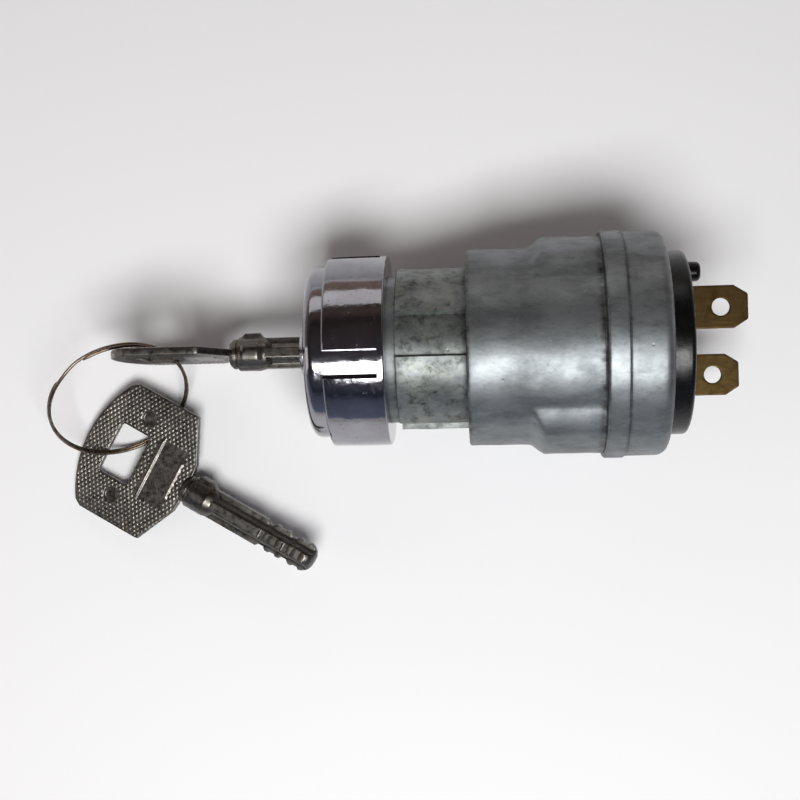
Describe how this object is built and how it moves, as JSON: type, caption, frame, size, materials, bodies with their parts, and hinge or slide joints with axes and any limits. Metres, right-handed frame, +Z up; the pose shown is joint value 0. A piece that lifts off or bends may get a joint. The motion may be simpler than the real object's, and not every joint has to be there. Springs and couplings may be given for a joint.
{
  "type": "selector key switch",
  "caption": "Panel-mounted rotary key switch with a chrome ring nut, a cruciform key, spade terminals and a spare key on a split ring.",
  "frame": {"origin": "on the switch axis, in the plane of the neck shoulder that meets the panel", "axes": "+X along the switch axis towards the terminals, +Z up, so the inserted key's bow stands upright; the panel's face is square to X"},
  "size_m": [0.1347, 0.0651, 0.0432],
  "materials": {
    "cast_zinc": "bare zinc die casting",
    "nut_chrome": "polished chrome plate",
    "plug_zinc": "plated die casting",
    "o_ring_rubber": "matt",
    "spring_steel": "oiled spring steel",
    "wafer_brass": "stamped",
    "sleeve_brass": "turned",
    "rotor_plastic": "moulded",
    "ball_steel": "ground",
    "bridge_brass": "stamped",
    "contact_silver": "silver plated",
    "tab_brass": "stamped, slightly tarnished",
    "seal_rubber": "matt",
    "base_phenolic": "moulded phenolic",
    "key_nickel": "nickel plate, worn",
    "ring_steel": "nickel plate"
  },
  "bodies": {
    "housing": {"housing": "cast_zinc", "terminal_base": "base_phenolic", "base_seal": "seal_rubber", "feed_contact": "contact_silver", "load_contact": "contact_silver", "feed_terminal": "tab_brass", "load_terminal": "tab_brass", "lock_sleeve": "sleeve_brass", "thrust_washer": "spring_steel"},
    "bezel_nut": {"bezel_nut": "nut_chrome"},
    "plug": {"lock_plug": "plug_zinc", "plug_o_ring": "o_ring_rubber", "plug_circlip": "spring_steel", "wafer_spring": "spring_steel", "contact_rotor": "rotor_plastic", "detent_balls": "ball_steel", "detent_springs": "spring_steel", "bridge_spring": "spring_steel", "contact_bridge": "bridge_brass"},
    "wafers": {"wafer_1": "wafer_brass", "wafer_2": "wafer_brass", "wafer_3": "wafer_brass", "wafer_4": "wafer_brass", "wafer_5": "wafer_brass", "wafer_6": "wafer_brass"},
    "ignition_key": {"ignition_key": "key_nickel"},
    "split_ring": {"split_ring": "ring_steel"},
    "spare_key": {"spare_key": "key_nickel"}
  },
  "joints": [
    {"name": "nut_travel", "type": "slide", "parent": "housing", "child": "bezel_nut", "axis": [-1, 0, 0], "range_m": [-0.0014, 0.0135]},
    {"name": "plug_turn", "type": "hinge", "parent": "housing", "child": "plug", "pos_m": [0, 0, 0], "axis": [1, 0, 0], "range_deg": [0, 60]},
    {"name": "key_insert", "type": "slide", "parent": "plug", "child": "ignition_key", "axis": [-1, 0, 0], "range_m": [0, 0.022]},
    {"name": "wafer_lift", "type": "slide", "parent": "plug", "child": "wafers", "axis": [0, 0.0349, 0.9994], "range_m": [0, 0.0003]},
    {"name": "ring_swing", "type": "hinge", "parent": "ignition_key", "child": "split_ring", "pos_m": [-0.04545, -0.00008, -0.00305], "axis": [-0.8246, 0.0197, 0.5653], "range_deg": [0, 30]},
    {"name": "spare_key_swing", "type": "hinge", "parent": "split_ring", "child": "spare_key", "pos_m": [-0.05912, -0.0187, -0.01265], "axis": [0.8858, 0.1452, -0.4407], "range_deg": [0, 20]}
  ],
  "couplings": [
    {"joint": "wafer_lift", "follows": "key_insert", "ratio": 0.0136}
  ]
}
